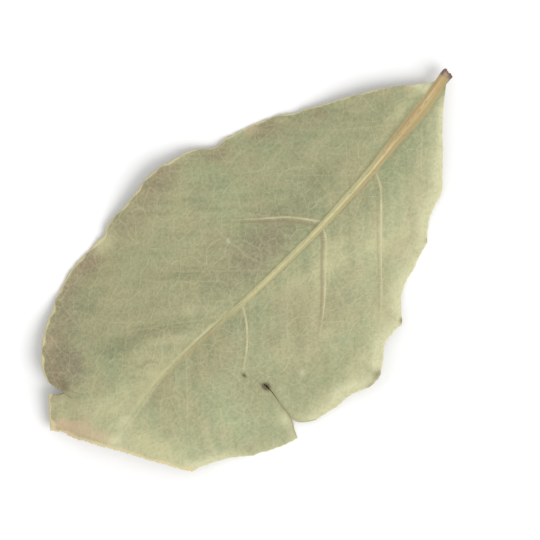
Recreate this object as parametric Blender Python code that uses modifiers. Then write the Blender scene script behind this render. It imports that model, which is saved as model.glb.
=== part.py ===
"""One dried bay leaf, lying on its lower face.

The leaf's own frame has +X along the midrib from the stalk to the tip, +Y across the blade and +Z
up. Its origin is the bottom centre of the leaf's box, on the surface that it rests on. The blade is
a thin open sheet given its thickness by Solidify. The midrib and the stub of the stalk are one
tapering rib, joined to the blade, because the leaf grew in one piece. The tip is snapped off along
a slanting line, one side is torn in from the edge, and the other side has a short crack.

Lengths are written in millimetres, counted from the cut end of the stalk (along) and from the
straight line through it (across). MM turns them to metres.
"""

import math

import bmesh
import bpy
import numpy as np

MM = 0.001

# Where the box's centre lies, counted from the cut end of the stalk
CENTRE_ALONG = 32.56
CENTRE_ACROSS = 0.27

# The blade's thickness, and how finely it is divided
BLADE_THICKNESS = 0.4
ROWS = 42
COLUMNS_EACH_SIDE = 9

# The blade begins inside the stalk and ends at the break, which slants across it. A slanting row
# finds its edge in steps that halve what is left.
BLADE_START = 1.0
BREAK_AT_MIDRIB = 62.4
BREAK_SLANT = 0.484
SLANT_STARTS = 46.0
EDGE_STEPS = 24

# (along, across) of the midrib's middle line
MIDRIB_LINE = [
    (-0.4, 0.05), (1.7, 0.42), (4.8, 0.8), (10.0, 1.05), (15.0, 1.3), (20.0, 1.38),
    (25.0, 1.33), (31.0, 0.98), (37.0, 0.52), (42.5, -0.08), (47.5, -0.5), (51.5, -0.72),
    (55.0, -0.5), (59.0, 0.05), (62.5, 1.0),
]

# (along, distance out from the straight line) of the two edges
LEFT_EDGE = [
    (1.0, 0.1), (2.2, 0.7), (3.2, 1.65), (4.2, 2.5), (5.0, 3.3), (7.0, 4.8), (9.0, 6.2), (13.4, 8.95),
    (18.5, 12.4), (22.2, 14.1), (24.2, 14.85), (26.2, 15.3), (27.1, 16.15), (28.2, 17.05), (30.0, 17.7),
    (32.0, 18.4), (34.0, 18.7), (36.5, 18.55), (38.3, 18.45), (41.0, 18.55), (45.0, 18.1), (49.3, 18.15),
    (51.0, 17.7), (54.2, 16.65), (58.3, 14.5), (59.6, 13.4), (60.6, 12.2), (61.2, 10.8), (62.3, 9.8),
    (65.6, 6.6), (66.3, 5.9),
]
RIGHT_EDGE = [
    (1.0, 1.2), (3.7, 3.25), (7.2, 6.3), (9.2, 8.0), (11.3, 9.75), (12.6, 10.1), (14.2, 10.6),
    (15.8, 11.55), (17.0, 12.5), (18.6, 12.9), (20.5, 13.5), (23.9, 14.5), (25.2, 15.55), (26.5, 16.85),
    (28.0, 16.8), (30.0, 17.1), (31.5, 18.15), (33.4, 19.2), (35.0, 19.15), (37.0, 18.25), (39.5, 17.85),
    (42.0, 17.15), (46.4, 16.65), (49.7, 15.0), (51.2, 14.05), (52.5, 12.8), (54.5, 11.35), (57.0, 10.1),
    (58.0, 9.65), (62.0, 7.6),
]

# (along, height) of the blade's middle at the midrib and at the two edges: the leaf is bowed up
# along its midrib, and its edges wave up and down and touch the table at two places on each side
MIDRIB_HEIGHT = [(0.0, 1.9), (8.0, 2.5), (20.0, 3.2), (34.0, 3.6), (50.0, 3.3), (63.0, 2.2)]
LEFT_HEIGHT = [
    (1.0, 1.9), (8.0, 1.8), (14.0, 0.9), (18.5, 0.07), (22.0, 0.07), (28.0, 1.1),
    (34.0, 2.0), (41.0, 0.9), (46.0, 0.07), (50.0, 0.07), (55.0, 1.0), (60.5, 2.1), (66.0, 1.3),
]
RIGHT_HEIGHT = [
    (1.0, 1.9), (8.0, 1.4), (13.5, 0.65), (17.5, 0.07), (21.0, 0.07), (26.0, 1.2),
    (32.0, 2.2), (38.0, 1.1), (42.5, 0.5), (46.0, 0.07), (50.0, 0.07), (54.0, 0.9), (58.0, 1.6),
    (62.0, 1.7),
]

# Each half of the blade rises a little beside the midrib, then falls to its edge
SHOULDER_RISE = 0.35
SHOULDER_WIDTH = 0.75
FULL_HALF_WIDTH = 18.0
FALL_SHAPE = 1.4

# (along, radius) of the rib, and how far its middle hangs below the blade's middle
RIB_RADIUS = [
    (-0.4, 0.7), (2.0, 0.76), (5.0, 0.8), (12.0, 0.57), (24.0, 0.4), (45.0, 0.32), (63.0, 0.28),
]
RIB_HANG = 0.45
RIB_RINGS = 34
RIB_ROUNDNESS = 3
RIB_END = 62.2

# Outlines, from above, of the three cuts through the blade: (along, across)
TEAR = [
    (43.15, 9.5), (43.35, 9.1), (43.75, 9.15), (43.9, 9.6), (43.85, 10.6), (44.0, 11.7),
    (44.3, 13.6), (44.6, 14.8), (45.05, 15.6), (45.7, 16.4), (46.2, 18.0), (42.2, 18.0),
    (42.9, 16.7), (43.7, 15.9), (44.2, 15.0), (43.9, 13.8), (43.6, 11.9), (43.35, 10.5),
]
CRACK = [
    (61.2, -13.0), (61.1, -10.8), (61.0, -9.8), (60.75, -8.2), (61.7, -9.2), (62.25, -9.8),
    (63.6, -11.6),
]
CUT_HALF_HEIGHT = 8.0

# Points of one solid that lie closer than this are one point
SAME_POINT = 0.01

# The slab under the table's surface, which trims the lowest places flat
SLAB_LENGTH = 90.0
SLAB_WIDTH = 60.0
SLAB_DEPTH = 4.0

LEAF_COLOUR = (0.392, 0.392, 0.231, 1.0)
LEAF_ROUGHNESS = 0.62


def smooth_through(stations, at):
    """The smooth curve through the stations: cubic pieces whose slopes are the stations' own."""
    place, value = np.array(stations, dtype=float).T
    slope = np.gradient(value, place)
    at = np.clip(at, place[0], place[-1])
    left = np.clip(np.searchsorted(place, at) - 1, 0, len(place) - 2)
    span = place[left + 1] - place[left]
    f = (at - place[left]) / span
    return (
        (2 * f**3 - 3 * f**2 + 1) * value[left]
        + (f**3 - 2 * f**2 + f) * span * slope[left]
        + (3 * f**2 - 2 * f**3) * value[left + 1]
        + (f**3 - f**2) * span * slope[left + 1]
    )


def slant_of(row_at):
    """How much a row leans back for each step across: nothing at first, the break's slant at last."""
    f = np.clip((row_at - SLANT_STARTS) / (BREAK_AT_MIDRIB - SLANT_STARTS), 0, 1)
    return BREAK_SLANT * f * f * (3 - 2 * f)


def edge_of(row_at, side):
    """Where a leaning row meets the left (side -1) or right (side 1) edge, in halving steps."""
    stations = RIGHT_EDGE if side > 0 else LEFT_EDGE
    across = np.zeros_like(row_at)
    for _ in range(EDGE_STEPS):
        found = side * smooth_through(stations, row_at - slant_of(row_at) * across)
        across = (across + found) / 2
    return across


def blade_points(row, column):
    """Middle of the blade for row 0 to 1 along the leaf and column -1 to 1 across it, in metres."""
    row_at = BLADE_START + (BREAK_AT_MIDRIB - BLADE_START) * row
    out = np.abs(column)
    middle = smooth_through(MIDRIB_LINE, row_at)
    width = np.where(column < 0, edge_of(row_at, -1), edge_of(row_at, 1)) - middle
    across = middle + width * out
    along = row_at - slant_of(row_at) * across
    edge_height = np.where(
        column < 0, smooth_through(LEFT_HEIGHT, along), smooth_through(RIGHT_HEIGHT, along)
    )
    rib_height = smooth_through(MIDRIB_HEIGHT, row_at)
    shoulder_shape = np.sin(math.pi * np.minimum(out / SHOULDER_WIDTH, 1.0)) ** 2
    shoulder = SHOULDER_RISE * np.abs(width) / FULL_HALF_WIDTH * shoulder_shape
    fall = np.sin(out**FALL_SHAPE * math.pi / 2) ** 2
    height = rib_height + shoulder + (edge_height - rib_height) * fall
    return np.stack([along - CENTRE_ALONG, across - CENTRE_ACROSS, height], axis=-1) * MM


def new_collection(name):
    collection = bpy.data.collections.new(name)
    bpy.context.scene.collection.children.link(collection)
    return collection


def new_object(name, data, collection):
    made = bpy.data.objects.new(name, data)
    collection.objects.link(made)
    return made


def mark_as_tool(tool):
    """A shape that only cuts or joins is hidden from renders and drawn as wire."""
    tool.hide_render = True
    tool.display_type = "WIRE"


def leaf_material():
    material = bpy.data.materials.new("dried_leaf")
    material.use_nodes = True
    shader = material.node_tree.nodes["Principled BSDF"]
    shader.inputs["Base Color"].default_value = LEAF_COLOUR
    shader.inputs["Roughness"].default_value = LEAF_ROUGHNESS
    shader.inputs["Metallic"].default_value = 0.0
    return material


def make_blade(collection):
    """A flat grid whose points are moved onto the blade's curved middle surface."""
    grid = bmesh.new()
    bmesh.ops.create_grid(grid, x_segments=ROWS, y_segments=2 * COLUMNS_EACH_SIDE, size=1.0)
    flat = np.array([vertex.co[:] for vertex in grid.verts])
    placed = blade_points((flat[:, 0] + 1) / 2, flat[:, 1])
    for vertex, place in zip(grid.verts, placed):
        vertex.co = place
    mesh = bpy.data.meshes.new("bay_leaf")
    grid.to_mesh(mesh)
    grid.free()
    mesh.shade_smooth()
    blade = new_object("bay_leaf", mesh, collection)
    thickness = blade.modifiers.new("thickness", "SOLIDIFY")
    thickness.thickness = BLADE_THICKNESS * MM
    thickness.offset = 0.0
    return blade


def make_rib(collection):
    """Midrib and stalk: a round bar along the midrib's line, thinner towards the tip."""
    along = np.linspace(MIDRIB_LINE[0][0], RIB_END, RIB_RINGS)
    radius = smooth_through(RIB_RADIUS, along)
    across = smooth_through(MIDRIB_LINE, along)
    height = smooth_through(MIDRIB_HEIGHT, along) - RIB_HANG * (radius - BLADE_THICKNESS / 2)
    curve = bpy.data.curves.new("rib_line", "CURVE")
    curve.dimensions = "3D"
    curve.bevel_depth = MM
    curve.bevel_resolution = RIB_ROUNDNESS
    curve.use_fill_caps = True
    line = curve.splines.new("POLY")
    line.points.add(RIB_RINGS - 1)
    for point, x, y, z, thick in zip(line.points, along, across, height, radius):
        point.co = ((x - CENTRE_ALONG) * MM, (y - CENTRE_ACROSS) * MM, z * MM, 1.0)
        point.radius = thick
    bar = new_object("rib_line", curve, collection)
    bpy.context.view_layer.update()
    seen = bar.evaluated_get(bpy.context.evaluated_depsgraph_get())
    mesh = bpy.data.meshes.new_from_object(seen)
    bpy.data.objects.remove(bar)
    ends = bmesh.new()
    ends.from_mesh(mesh)
    bmesh.ops.remove_doubles(ends, verts=ends.verts, dist=SAME_POINT * MM)
    ends.to_mesh(mesh)
    ends.free()
    rib = new_object("rib", mesh, collection)
    mark_as_tool(rib)
    return rib


def make_cut(name, outline, collection):
    """An upright block with the given outline, tall enough to pass right through the blade."""
    curve = bpy.data.curves.new(name, "CURVE")
    curve.dimensions = "2D"
    curve.fill_mode = "BOTH"
    curve.extrude = CUT_HALF_HEIGHT * MM
    line = curve.splines.new("POLY")
    line.points.add(len(outline) - 1)
    line.use_cyclic_u = True
    for point, (along, across) in zip(line.points, outline):
        point.co = ((along - CENTRE_ALONG) * MM, (across - CENTRE_ACROSS) * MM, 0.0, 1.0)
    drawn = new_object(name + "_outline", curve, collection)
    bpy.context.view_layer.update()
    seen = drawn.evaluated_get(bpy.context.evaluated_depsgraph_get())
    mesh = bpy.data.meshes.new_from_object(seen)
    bpy.data.objects.remove(drawn)
    walls = bmesh.new()
    walls.from_mesh(mesh)
    bmesh.ops.remove_doubles(walls, verts=walls.verts, dist=SAME_POINT * MM)
    bmesh.ops.recalc_face_normals(walls, faces=walls.faces)
    walls.to_mesh(mesh)
    walls.free()
    cut = new_object(name, mesh, collection)
    mark_as_tool(cut)
    return cut


def make_table_slab(collection):
    """A block whose top is the table's surface."""
    block = bmesh.new()
    bmesh.ops.create_cube(block, size=1.0)
    bmesh.ops.scale(block, vec=(SLAB_LENGTH * MM, SLAB_WIDTH * MM, SLAB_DEPTH * MM), verts=block.verts)
    bmesh.ops.translate(block, vec=(0.0, 0.0, -SLAB_DEPTH * MM / 2), verts=block.verts)
    mesh = bpy.data.meshes.new("table_slab")
    block.to_mesh(mesh)
    block.free()
    slab = new_object("table_slab", mesh, collection)
    mark_as_tool(slab)
    return slab


def join_or_cut(body, tool, operation):
    step = body.modifiers.new(tool.name, "BOOLEAN")
    step.operation = operation
    step.solver = "EXACT"
    step.object = tool


def build():
    for old in list(bpy.data.objects):
        bpy.data.objects.remove(old)
    leaf_parts = new_collection("dried_bay_leaf")
    tools = new_collection("cutters")
    leaf = make_blade(leaf_parts)
    leaf.data.materials.append(leaf_material())
    join_or_cut(leaf, make_rib(tools), "UNION")
    join_or_cut(leaf, make_cut("tear", TEAR, tools), "DIFFERENCE")
    join_or_cut(leaf, make_cut("crack", CRACK, tools), "DIFFERENCE")
    join_or_cut(leaf, make_table_slab(tools), "DIFFERENCE")


build()
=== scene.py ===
import math

import bpy
import numpy as np
from mathutils import Matrix, Vector


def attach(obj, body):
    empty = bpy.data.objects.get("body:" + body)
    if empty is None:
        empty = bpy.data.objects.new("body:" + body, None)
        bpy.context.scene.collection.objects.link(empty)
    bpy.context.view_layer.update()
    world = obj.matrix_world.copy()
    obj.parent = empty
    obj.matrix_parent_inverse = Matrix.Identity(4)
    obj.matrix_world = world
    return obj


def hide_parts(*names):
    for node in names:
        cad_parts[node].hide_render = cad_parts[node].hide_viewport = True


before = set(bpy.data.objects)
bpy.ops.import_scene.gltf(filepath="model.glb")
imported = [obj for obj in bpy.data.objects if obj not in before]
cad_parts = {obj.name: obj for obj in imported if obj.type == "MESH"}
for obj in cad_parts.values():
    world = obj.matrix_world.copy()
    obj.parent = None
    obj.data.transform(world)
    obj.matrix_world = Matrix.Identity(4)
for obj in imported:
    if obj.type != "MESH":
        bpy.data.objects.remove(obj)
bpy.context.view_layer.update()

# Outline of the blade
# One dried bay leaf, seen from the face that lay uppermost. Lengths are millimetres counted from the
# cut end of its stalk, along the leaf and across it, and the blade is worked out on rows that run
# across it: straight at first, then leaning back until the last row lies on the snapped end.

STALK_END = -0.4
BREAK_AT_MIDRIB = 62.4
BREAK_SLANT = 0.484
SLANT_STARTS = 46.0

# (along, across) of the midrib's middle line
MIDRIB_LINE = [
    (-0.4, 0.05), (1.7, 0.42), (4.8, 0.8), (10.0, 1.05), (15.0, 1.3), (20.0, 1.38),
    (25.0, 1.33), (31.0, 0.98), (37.0, 0.52), (42.5, -0.08), (47.5, -0.5), (51.5, -0.72),
    (55.0, -0.5), (59.0, 0.05), (62.5, 1.0),
]

# (along, distance out from the straight line) of the left and the right edge
LEFT_EDGE = [
    (1.0, 0.0), (2.2, 0.6), (3.2, 1.55), (4.2, 2.4), (5.0, 3.2), (7.0, 4.8), (9.0, 6.2), (13.4, 8.95),
    (18.5, 12.4), (22.2, 14.1), (24.2, 14.85), (26.2, 15.3), (27.1, 16.15), (28.2, 17.05), (30.0, 17.7),
    (32.0, 18.4), (34.0, 18.7), (36.5, 18.55), (38.3, 18.45), (41.0, 18.55), (45.0, 18.1), (49.3, 18.15),
    (51.0, 17.7), (54.2, 16.65), (58.3, 14.5), (59.6, 13.4), (60.6, 12.2), (61.2, 10.8), (62.3, 9.8),
    (65.6, 6.6), (66.3, 5.9),
]
RIGHT_EDGE = [
    (1.0, 1.1), (3.7, 3.1), (7.2, 6.25), (9.2, 8.0), (11.3, 9.75), (12.6, 10.1), (14.2, 10.6),
    (15.8, 11.55), (17.0, 12.5), (18.6, 12.9), (20.5, 13.5), (23.9, 14.5), (25.2, 15.55), (26.5, 16.85),
    (28.0, 16.8), (30.0, 17.1), (31.5, 18.15), (33.4, 19.2), (35.0, 19.15), (37.0, 18.25), (39.5, 17.85),
    (42.0, 17.15), (46.4, 16.65), (49.7, 15.0), (51.2, 14.05), (52.5, 12.8), (54.5, 11.35), (57.0, 10.1),
    (58.0, 9.65), (62.0, 7.6),
]

# Small bites out of the margin: (along, depth, half length)
LEFT_BITES = [
    (9.0, 0.12, 0.4), (16.0, 0.3, 0.7), (25.4, 0.12, 0.4), (31.0, 0.1, 0.4), (43.2, 0.4, 0.6),
    (48.5, 0.12, 0.35), (54.5, 0.2, 0.4),
]
RIGHT_BITES = [
    (6.0, 0.1, 0.4), (21.8, 0.1, 0.5), (38.1, 0.1, 0.4), (50.3, 0.1, 0.4), (56.4, 0.12, 0.4),
]
FRAY = 0.05
FRAY_BEGINS = (2.0, 6.0)

# Places where the pale rim is wider and turned up, or narrower and turned down where the last number
# is less than nothing: (along, half length, how much)
LEFT_RIM_SWELLS = [
    (7.0, 3.0, 0.08), (21.5, 1.8, 0.12), (29.4, 1.6, 0.35), (38.0, 1.2, 0.15), (42.6, 0.8, 0.25),
    (44.6, 1.1, 0.3), (48.8, 0.9, 0.1), (51.0, 1.4, -0.12), (56.5, 2.2, 0.15), (63.8, 2.0, 0.2),
]
RIGHT_RIM_SWELLS = [(8.0, 4.0, 0.1), (40.5, 2.5, 0.1)]


def smooth_through(stations, at):
    """The smooth curve through the stations: cubic pieces whose slopes are the stations' own."""
    place, value = np.array(stations, dtype=float).T
    slope = np.gradient(value, place)
    at = np.clip(at, place[0], place[-1])
    left = np.clip(np.searchsorted(place, at) - 1, 0, len(place) - 2)
    span = place[left + 1] - place[left]
    f = (at - place[left]) / span
    return (
        (2 * f**3 - 3 * f**2 + 1) * value[left]
        + (f**3 - 2 * f**2 + f) * span * slope[left]
        + (3 * f**2 - 2 * f**3) * value[left + 1]
        + (f**3 - f**2) * span * slope[left + 1]
    )


def ease(start, end, at):
    """0 before start, 1 after end, and between them 3 f squared less 2 f cubed."""
    f = np.clip((at - start) / (end - start), 0, 1)
    return f * f * (3 - 2 * f)


def fade(start, end, at):
    """1 before start and 0 after end: what ease leaves of 1."""
    return 1 - ease(start, end, at)


def hump(offset, reach):
    """A bell: e to the power of minus offset over reach, squared."""
    return np.exp(-((offset / reach) ** 2))


def slant_of(row_at):
    """How much a row leans back for each step across: nothing at first, the break's slant at last."""
    return BREAK_SLANT * ease(SLANT_STARTS, BREAK_AT_MIDRIB, row_at)


def margin_at(along, side):
    """Distance out to the margin: the smooth outline, less a bell for each bite, and less a little
    fraying, which is the sum of two sines, 1.6 and 0.8 mm long."""
    outline, bites = (RIGHT_EDGE, RIGHT_BITES) if side > 0 else (LEFT_EDGE, LEFT_BITES)
    out = smooth_through(outline, along)
    for at, depth, reach in bites:
        out = out - depth * hump(along - at, reach)
    fray = 1 + 0.5 * np.sin(along * 3.9 + side) + 0.5 * np.sin(along * 8.3 + 2 * side)
    return out - FRAY * fray * ease(*FRAY_BEGINS, along)


def rim_swell(along, swells):
    """How much the pale rim swells: the sum of a bell for each of the places."""
    return sum(more * hump(along - at, reach) for at, reach, more in swells)


# Tear, crack and snapped end
# The blade is torn in from its right edge to a small hole, cracked in from its left edge, and snapped
# off before its tip. A torn row of the blade is there twice, and its two lips draw apart.

TEAR_ROW = 43.9
TEAR_INNER = 9.05
CRACK_ROW = 57.6
CRACK_INNER = -8.2

# (across, how far along from its row the tear runs), then (across, how far a lip has drawn back)
TEAR_LINE = [
    (5.0, 0.0), (9.1, -0.42), (10.6, -0.32), (11.7, -0.1), (12.9, 0.1), (13.8, 0.25), (14.6, 0.5),
    (17.5, 0.5),
]
TEAR_STALK_LIP = [
    (8.9, 0.0), (9.2, 0.08), (9.6, 0.12), (10.1, 0.06), (10.8, 0.04), (14.4, 0.05), (15.2, 0.16),
    (16.1, 0.82), (16.8, 1.7), (17.4, 2.6),
]
TEAR_TIP_LIP = [
    (8.9, 0.0), (9.2, 0.07), (9.6, 0.1), (10.1, 0.06), (10.8, 0.04), (14.4, 0.06), (15.0, 0.16),
    (15.7, 0.66), (16.5, 1.15), (17.4, 1.75),
]
CRACK_STALK_LIP = [(-13.0, 1.3), (-10.8, 0.65), (-9.8, 0.36), (-9.2, 0.23), (-8.2, 0.0)]
CRACK_TIP_LIP = [(-13.0, 2.6), (-10.8, 1.45), (-9.8, 0.89), (-9.2, 0.57), (-8.2, 0.0)]
LIP_REACH = 4.5
SNAG_REACH = 1.6
EDGE_STEPS = 30


def snag(across):
    """How far the snapped end falls short of its straight line: the sum of two dents, each a bell, and
    of four sines, from 3 mm long down to 0.4 mm."""
    dents = 0.28 * hump(across + 5.4, 1.0) + 0.12 * hump(across - 2.2, 0.7)
    long_waves = np.sin(across * 2.1) + np.sin(across * 4.7 + 1)
    rough = long_waves + np.sin(across * 9.1 + 2) + np.sin(across * 17 + 3)
    return dents + 0.035 * (rough + 3)


def along_of(row_at, across, past_tear, past_crack):
    """Where a point of a row lies along the leaf: its row, leaning back, drawn to the tear's own line,
    pushed away from each lip by what that has opened, less the further the row is from it, and held
    back by the snag near the snapped end."""
    along = row_at - slant_of(row_at) * across
    from_tear = np.abs(row_at - TEAR_ROW)
    along = along + smooth_through(TEAR_LINE, across) * hump(from_tear, LIP_REACH)
    opened = np.where(
        past_tear, smooth_through(TEAR_TIP_LIP, across), -smooth_through(TEAR_STALK_LIP, across)
    )
    along = along + opened * np.exp(-from_tear / LIP_REACH)
    from_crack = np.abs(row_at - CRACK_ROW)
    opened = np.where(
        past_crack, smooth_through(CRACK_TIP_LIP, across), -smooth_through(CRACK_STALK_LIP, across)
    )
    along = along + opened * np.exp(-from_crack / LIP_REACH)
    return along - snag(across) * np.exp(-(BREAK_AT_MIDRIB - row_at) / SNAG_REACH)


def edge_of(row_at, side, past_tear, past_crack):
    """How far across a row meets the margin: each step goes halfway to the margin's distance at the
    place that the last step reached."""
    across = np.zeros_like(row_at)
    for _ in range(EDGE_STEPS):
        found = side * margin_at(along_of(row_at, across, past_tear, past_crack), side)
        across = (across + found) / 2
    return across


# Lie of the blade
# A drying leaf bows up along its midrib, each half sags to its margin like a gull's wing, and the
# margins cockle, so that it touches the table at two places on each side.

# (along, height) of the blade's middle at the midrib and at the two margins
MIDRIB_HEIGHT = [(0.0, 1.9), (8.0, 2.5), (20.0, 3.2), (34.0, 3.6), (50.0, 3.3), (63.0, 2.2)]
LEFT_HEIGHT = [
    (1.0, 1.9), (8.0, 1.8), (14.0, 0.9), (18.5, 0.07), (22.0, 0.07), (28.0, 1.1),
    (34.0, 2.0), (41.0, 0.9), (46.0, 0.07), (50.0, 0.07), (55.0, 1.0), (60.5, 2.1), (66.0, 1.3),
]
RIGHT_HEIGHT = [
    (1.0, 1.9), (8.0, 1.4), (13.5, 0.65), (17.5, 0.07), (21.0, 0.07), (26.0, 1.2),
    (32.0, 2.2), (38.0, 1.1), (42.5, 0.5), (46.0, 0.07), (50.0, 0.07), (54.0, 0.9), (58.0, 1.6),
    (62.0, 1.7),
]
SHOULDER_RISE = 0.15
SHOULDER_WIDTH = 0.75
FULL_HALF_WIDTH = 18.0
FALL_SHAPE = 1.4
HALF_THICKNESS = 0.15
LEAST_HALF_THICKNESS = 0.03
RIM_ROUND = 0.18
WAVES_SUMMED = 9


def waves(along, across, size, seed):
    """Smooth unevenness, mostly between -1 and 1: a quarter of the sum of nine plane waves, each in a
    direction and a phase of its own and about size long."""
    draw = np.random.default_rng(seed)
    total = np.zeros_like(along)
    for _ in range(WAVES_SUMMED):
        turn, phase, length = draw.uniform(0, math.pi), draw.uniform(0, 2 * math.pi), draw.uniform(0.7, 1.4)
        total += np.sin(
            2 * math.pi * (along * math.cos(turn) + across * math.sin(turn)) / (size * length) + phase
        )
    return total / 4


def blade_height(row_at, along, out, width, side):
    """Height of the blade's middle. From the midrib's own height, the squared sine of a power of the
    way out takes it down to the margin's, and another squared sine, over the first three quarters of
    the way, lifts a shoulder beside the midrib, higher where the blade is broad."""
    margin = np.where(side < 0, smooth_through(LEFT_HEIGHT, along), smooth_through(RIGHT_HEIGHT, along))
    midrib = smooth_through(MIDRIB_HEIGHT, row_at)
    lift = np.sin(math.pi * np.minimum(out / SHOULDER_WIDTH, 1)) ** 2
    shoulder = SHOULDER_RISE * width / FULL_HALF_WIDTH * lift
    fall = np.sin(out**FALL_SHAPE * math.pi / 2) ** 2
    return midrib + shoulder + (margin - midrib) * fall


# Midrib and stalk
# The stalk is a round woody stub, cut at its end, that runs on as the midrib. It is thickest where the
# blade begins, and thins from there to the snapped end. It stands proud of the upper face a little, and
# hangs further below the lower one.

# (along, radius) of the rib
RIB_RADIUS = [
    (-0.4, 0.16), (-0.34, 0.38), (-0.2, 0.52), (0.1, 0.6), (0.6, 0.64), (1.5, 0.66), (3.0, 0.71),
    (5.0, 0.76), (12.0, 0.57), (24.0, 0.4), (45.0, 0.32), (63.0, 0.28),
]

# The rib's middle hangs below the blade's by a share of what its radius has over its seat, and sinks
# further on the way to the tip
RIB_HANG = 0.45
RIB_SEAT = 0.2
RIB_SINK = 0.32
RIB_SINKS = (40.0, 60.0)
RIB_FILLET = 0.12
RIB_SIDE_SLOPE = 3.0

# Fine furrows run down the stalk and are gone from the midrib further on
FURROW_DEPTH = 0.06
FURROWS_FADE = (20.0, 34.0)


def soft_max(a, b, fillet):
    """The greater of two heights, with the corner between them filled: the mean of their sum and of the
    root of their difference squared plus the fillet squared."""
    return (a + b + np.sqrt((a - b) ** 2 + fillet**2)) / 2


# Side veins
# Side veins leave the midrib at about 45 degrees, bend towards the tip and fade before the margin. On
# this face some are a thin raised thread, with a brown seam along it, and others hardly show.

# (strength, how brown its seam is, (along, across) ...)
SIDE_VEINS = [
    (0.25, 0.0, [(5.0, 0.9), (7.2, 2.6), (10.6, 5.6), (13.2, 8.6)]),
    (0.75, 0.5, [
        (14.6, 1.3), (15.8, 3.4), (17.7, 5.3), (19.9, 7.3), (22.4, 9.6), (25.2, 12.2), (27.9, 14.5),
        (30.2, 16.2),
    ]),
    (0.9, 0.7, [(24.2, 1.4), (25.2, 2.9), (27.4, 4.8), (29.7, 6.8), (31.6, 8.3), (33.6, 9.7), (37.0, 12.0)]),
    (0.15, 0.0, [(31.0, 1.0), (33.4, 3.6), (36.6, 6.8), (39.2, 10.4), (40.6, 13.4)]),
    (0.9, 0.15, [(37.9, 0.4), (38.8, 1.8), (39.9, 3.1), (41.6, 4.6), (43.6, 5.9), (44.35, 6.6)]),
    (0.3, 0.0, [(47.0, -0.4), (48.6, 0.9), (50.0, 2.3), (53.0, 5.0), (56.4, 8.2)]),
    (0.12, 0.0, [(54.0, -0.6), (57.0, 2.0), (60.5, 5.4)]),
    (0.25, 0.0, [(7.5, 1.0), (10.4, -1.6), (14.2, -5.2), (18.2, -9.6)]),
    (0.15, 0.0, [(15.6, 1.3), (18.6, -1.6), (22.6, -6.4), (26.6, -12.4)]),
    (0.8, 0.9, [(23.7, 1.3), (26.0, -2.1), (27.8, -4.0), (29.5, -5.65), (34.0, -10.4)]),
    (0.15, 0.0, [(32.0, 0.9), (35.6, -3.0), (40.4, -8.2), (44.6, -14.0)]),
    (0.2, 0.0, [(39.5, 0.3), (42.6, -1.8), (45.7, -4.4), (51.4, -8.75), (55.6, -12.6)]),
    (0.12, 0.0, [(47.5, -0.5), (51.4, -2.6), (56.0, -5.8), (60.2, -8.6)]),
]
VEIN_POINTS = 60
VEIN_REACH = 0.3
VEIN_RISE = 0.06
LEAST_BELOW = 0.65
VEIN_RISE_BELOW = 0.11
# A vein fades over this part of its own length, and starts this thick and loses this much by its end
VEIN_FADES = (0.6, 1.0)
VEIN_THINS = (1.1, 0.6)
VEIN_HOLDS = 1.2
# The blade dips to each vein
GROOVE_DEPTH = 0.1
GROOVE_REACH = 1.5

# Low folds that run beside side veins: (height, half width, how dark the painted shade on its flank is,
# (along, across) ...)
FOLDS = [
    (0.32, 1.3, 0.8, [(40.5, 0.2), (44.5, -2.2), (49.0, -4.8), (53.5, -7.0), (57.0, -9.6)]),
    (0.13, 0.8, 0.6, [(33.4, -0.6), (36.8, -3.5), (40.0, -6.3), (43.0, -9.0), (47.5, -13.0)]),
    (0.1, 0.8, 0.3, [(26.0, 2.4), (30.0, 5.6), (34.0, 8.0), (38.0, 11.0)]),
    (0.08, 0.9, 0.1, [(17.0, -2.0), (21.0, -6.5), (25.0, -11.5), (28.0, -15.0)]),
]
FOLD_BEGINS = (0.0, 0.3)
FOLD_FADES = (0.65, 1.0)
FLANK_OFFSET = 0.9


def near_line(along, across, stations):
    """For each place, the distance to a line, how far down the line the nearest point is, and which
    side of it the place is on. The line is cut into short straight steps, and each step gives the foot
    of the perpendicular on it."""
    knots = np.linspace(0, 1, len(stations))
    at = np.linspace(0, 1, VEIN_POINTS)
    u = smooth_through([(k, s[0]) for k, s in zip(knots, stations)], at)
    v = smooth_through([(k, s[1]) for k, s in zip(knots, stations)], at)
    least = np.full(along.shape, 1e9)
    where = np.zeros(along.shape)
    beside = np.zeros(along.shape)
    for step in range(VEIN_POINTS - 1):
        du, dv = u[step + 1] - u[step], v[step + 1] - v[step]
        f = np.clip(((along - u[step]) * du + (across - v[step]) * dv) / (du * du + dv * dv), 0, 1)
        pu, pv = along - u[step] - f * du, across - v[step] - f * dv
        gap = np.hypot(pu, pv)
        closer = gap < least
        least = np.where(closer, gap, least)
        where = np.where(closer, (step + f) / (VEIN_POINTS - 1), where)
        beside = np.where(closer, np.sign(pu * dv - pv * du), beside)
    return least, where, beside


def side_veins(along, across):
    """For each place, the distance to the nearest side vein, divided by how thick it is there and plus
    on its tip's side; how strong that vein and its seam are there, which eases off to its end and falls
    off beside it as a bell, and the vein on the lower face, where all of them show; and how near any
    vein is, as a bell that reaches 1.5 mm."""
    nearest = np.full(along.shape, 1e9)
    strength_there = np.zeros(along.shape)
    seam_there = np.zeros(along.shape)
    below_there = np.zeros(along.shape)
    groove = np.zeros(along.shape)
    for strength, seam, stations in SIDE_VEINS:
        gap, where, beside = near_line(along, across, stations)
        held = fade(*VEIN_FADES, where) * hump(gap, VEIN_HOLDS)
        tipward = beside * np.sign(stations[-1][1] - stations[0][1])
        thickness = VEIN_THINS[0] - VEIN_THINS[1] * where
        closer = gap < np.abs(nearest)
        nearest = np.where(closer, gap * tipward / thickness, nearest)
        strength_there = np.where(closer, held * strength, strength_there)
        seam_there = np.where(closer, held * strength * seam, seam_there)
        below_there = np.where(closer, held * max(strength, LEAST_BELOW), below_there)
        groove = np.maximum(groove, (0.4 + 0.6 * strength) * hump(gap, GROOVE_REACH))
    return nearest, strength_there, seam_there, below_there, groove


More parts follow.
